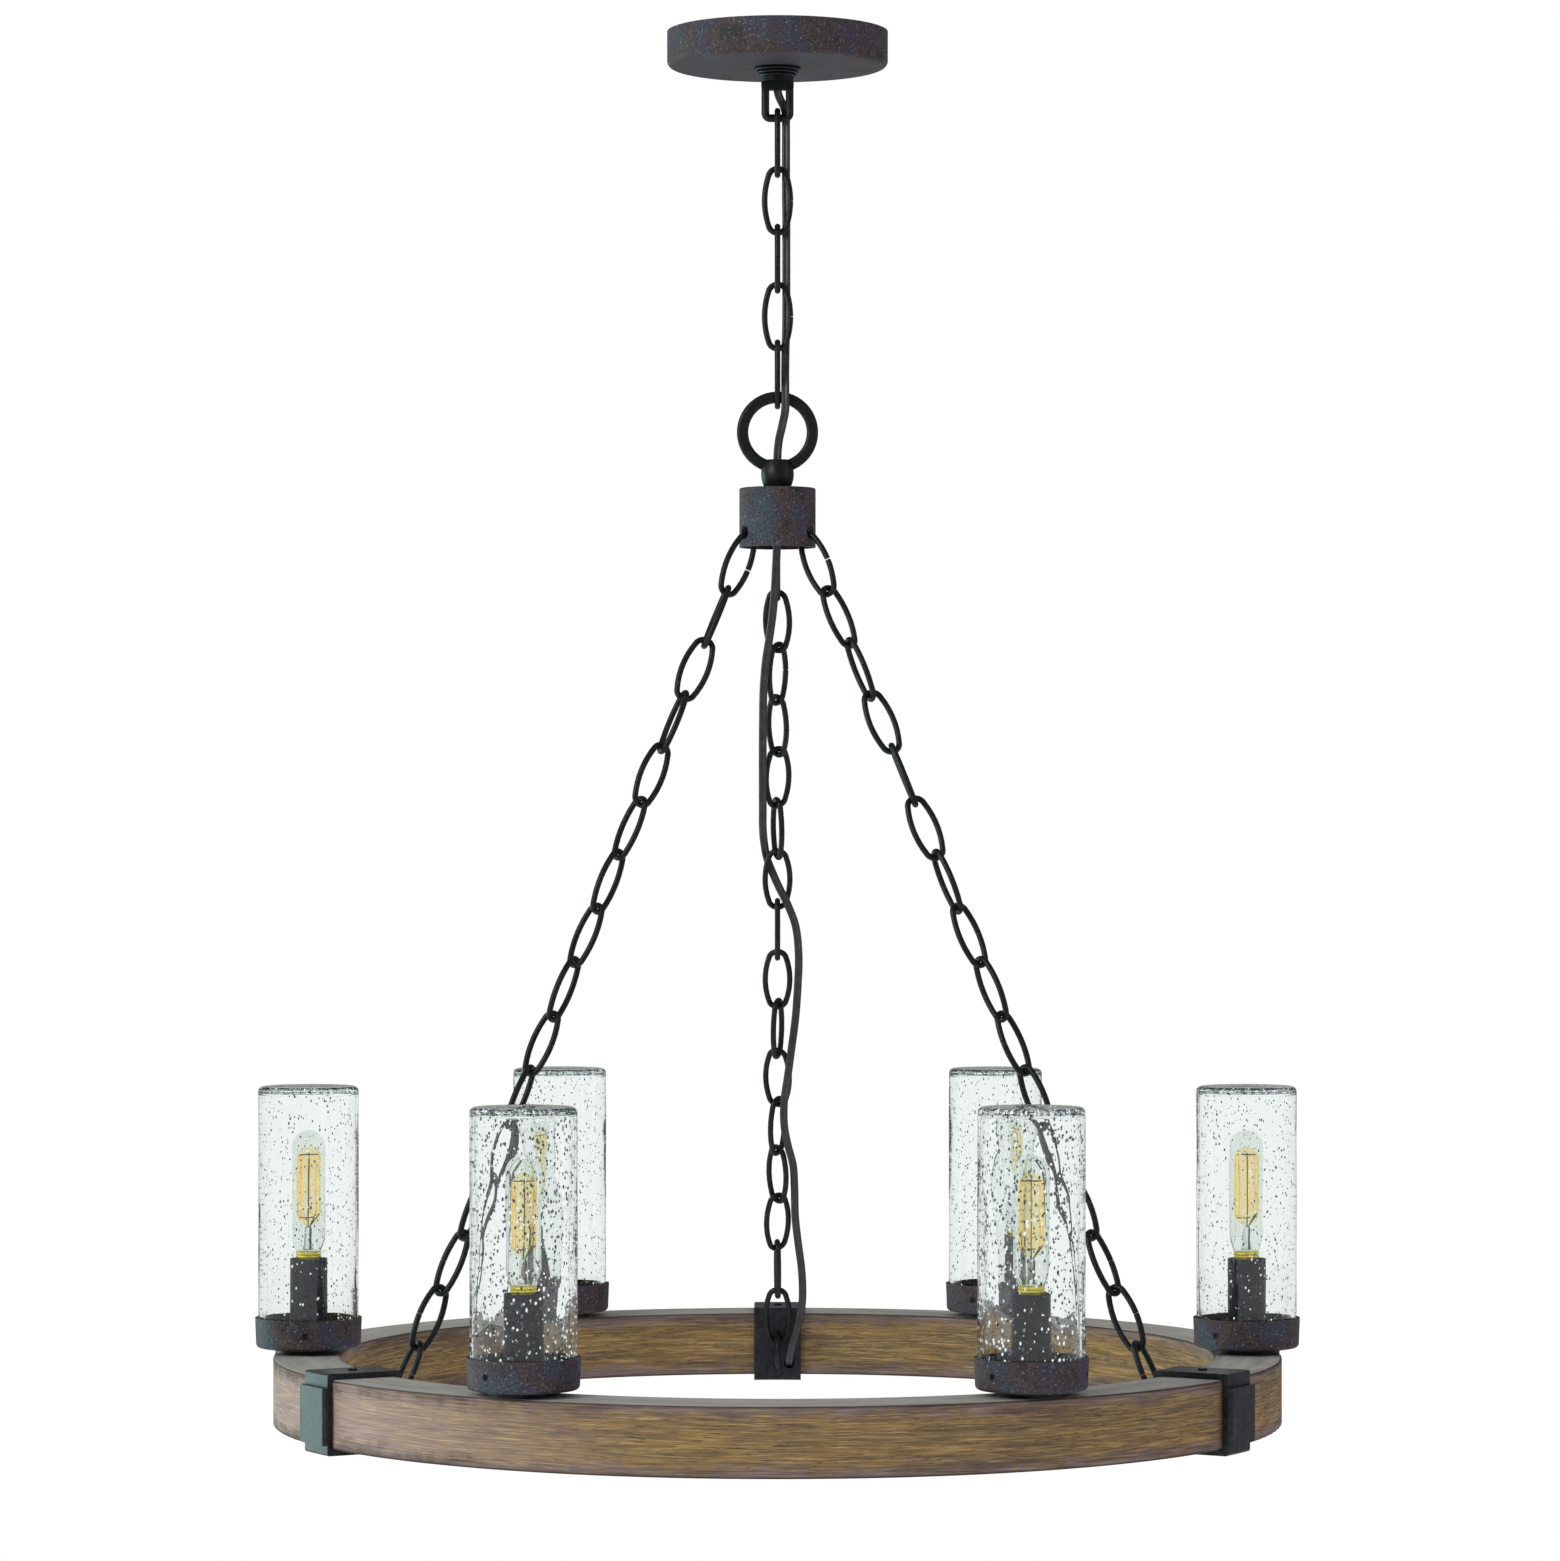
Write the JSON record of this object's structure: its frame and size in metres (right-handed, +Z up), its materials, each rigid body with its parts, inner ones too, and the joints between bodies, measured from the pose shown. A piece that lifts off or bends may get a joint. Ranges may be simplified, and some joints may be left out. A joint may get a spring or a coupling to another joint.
{
  "type": "ring chandelier",
  "caption": "Wood-look ring hung by open-link chains, with closed glass cylinders over tubular bulbs on its top.",
  "frame": {"origin": "ceiling plane on the chandelier's vertical axis, centre of the ceiling box screws", "axes": "+Z up into the ceiling; -Y faces the viewer of the picture; +X to the viewer's right, through the middle of light 1"},
  "size_m": [0.6622, 0.6435, 0.8829],
  "materials": {
    "mottled_iron": "mottled slate and rust brown, semi-matt",
    "black_iron": "satin black",
    "charcoal_metal": "charcoal with a green cast, satin",
    "slate_metal": "dark slate, matt",
    "weathered_wood": "weathered oak brown with grey edges, matt",
    "shade_glass": "clear with seed bubbles",
    "bulb_glass": "clear",
    "bulb_brass": "polished",
    "zinc": "zinc plated",
    "phenolic": "black",
    "green_screw": "green",
    "cord": "dark brown, smooth"
  },
  "bodies": {
    "ceiling_mount": {"mounting_bar": "zinc", "ground_screw": "green_screw", "nipple": "zinc", "nipple_nuts": "zinc", "hang_loop": "black_iron", "cord_top": "cord"},
    "canopy_body": {"canopy": "mottled_iron", "screw_collar": "black_iron"},
    "top_link_body": {"top_link": "black_iron", "cord_link": "cord"},
    "fixture": {"upper_chain": "black_iron", "hanging_ring": "black_iron", "neck_ball": "black_iron", "hub": "mottled_iron", "hub_nipple": "zinc", "hub_nut": "zinc", "leg_chain_left": "black_iron", "leg_chain_right": "black_iron", "leg_chain_back": "black_iron", "cord_upper": "cord", "cord_leg": "cord", "ring_body": "weathered_wood", "ring_cover": "weathered_wood", "cover_screws": "zinc", "harness": "cord", "strap_left": "charcoal_metal", "strap_right": "charcoal_metal", "strap_back": "charcoal_metal", "buckles": "charcoal_metal", "chain_eyes": "black_iron", "strap_screws": "black_iron", "pedestals": "black_iron", "sleeves": "slate_metal", "sockets": "phenolic", "socket_nuts": "zinc", "set_screws": "black_iron", "cup_1": "mottled_iron", "cup_2": "mottled_iron", "cup_3": "mottled_iron", "cup_4": "mottled_iron", "cup_5": "mottled_iron", "cup_6": "mottled_iron"},
    "shade_body_1": {"shade_1": "shade_glass"},
    "bulb_body_1": {"bulb_glass_1": "bulb_glass", "bulb_base_1": "bulb_brass"},
    "shade_body_2": {"shade_2": "shade_glass"},
    "bulb_body_2": {"bulb_glass_2": "bulb_glass", "bulb_base_2": "bulb_brass"},
    "shade_body_3": {"shade_3": "shade_glass"},
    "bulb_body_3": {"bulb_glass_3": "bulb_glass", "bulb_base_3": "bulb_brass"},
    "shade_body_4": {"shade_4": "shade_glass"},
    "bulb_body_4": {"bulb_glass_4": "bulb_glass", "bulb_base_4": "bulb_brass"},
    "shade_body_5": {"shade_5": "shade_glass"},
    "bulb_body_5": {"bulb_glass_5": "bulb_glass", "bulb_base_5": "bulb_brass"},
    "shade_body_6": {"shade_6": "shade_glass"},
    "bulb_body_6": {"bulb_glass_6": "bulb_glass", "bulb_base_6": "bulb_brass"}
  },
  "joints": [
    {"name": "canopy_drop", "type": "slide", "parent": "ceiling_mount", "child": "canopy_body", "axis": [0, 0, 1], "range_m": [-0.02, 0]},
    {"name": "swing_x", "type": "hinge", "parent": "ceiling_mount", "child": "top_link_body", "pos_m": [0, 0, -0.0546], "axis": [1, 0, 0], "range_deg": [-15, 15], "deforming": ["cord_top", "cord_link"]},
    {"name": "swing_y", "type": "hinge", "parent": "top_link_body", "child": "fixture", "pos_m": [0, 0, -0.09065], "axis": [0, 1, 0], "range_deg": [-15, 15], "deforming": ["cord_upper"]},
    {"name": "shade_lift_1", "type": "slide", "parent": "fixture", "child": "shade_body_1", "axis": [0, 0, 1], "range_m": [0, 0.14]},
    {"name": "shade_lift_2", "type": "slide", "parent": "fixture", "child": "shade_body_2", "axis": [0, 0, 1], "range_m": [0, 0.14]},
    {"name": "shade_lift_3", "type": "slide", "parent": "fixture", "child": "shade_body_3", "axis": [0, 0, 1], "range_m": [0, 0.14]},
    {"name": "shade_lift_4", "type": "slide", "parent": "fixture", "child": "shade_body_4", "axis": [0, 0, 1], "range_m": [0, 0.14]},
    {"name": "shade_lift_5", "type": "slide", "parent": "fixture", "child": "shade_body_5", "axis": [0, 0, 1], "range_m": [0, 0.14]},
    {"name": "shade_lift_6", "type": "slide", "parent": "fixture", "child": "shade_body_6", "axis": [0, 0, 1], "range_m": [0, 0.14]},
    {"name": "bulb_turn_1", "type": "hinge", "parent": "fixture", "child": "bulb_body_1", "pos_m": [0.2974, 0, -0.77745], "axis": [0, 0, 1], "range_deg": [0, 1080]},
    {"name": "bulb_turn_2", "type": "hinge", "parent": "fixture", "child": "bulb_body_2", "pos_m": [0.1487, 0.25756, -0.77745], "axis": [0, 0, 1], "range_deg": [0, 1080]},
    {"name": "bulb_turn_3", "type": "hinge", "parent": "fixture", "child": "bulb_body_3", "pos_m": [-0.1487, 0.25756, -0.77745], "axis": [0, 0, 1], "range_deg": [0, 1080]},
    {"name": "bulb_turn_4", "type": "hinge", "parent": "fixture", "child": "bulb_body_4", "pos_m": [-0.2974, 0, -0.77745], "axis": [0, 0, 1], "range_deg": [0, 1080]},
    {"name": "bulb_turn_5", "type": "hinge", "parent": "fixture", "child": "bulb_body_5", "pos_m": [-0.1487, -0.25756, -0.77745], "axis": [0, 0, 1], "range_deg": [0, 1080]},
    {"name": "bulb_turn_6", "type": "hinge", "parent": "fixture", "child": "bulb_body_6", "pos_m": [0.1487, -0.25756, -0.77745], "axis": [0, 0, 1], "range_deg": [0, 1080]}
  ]
}
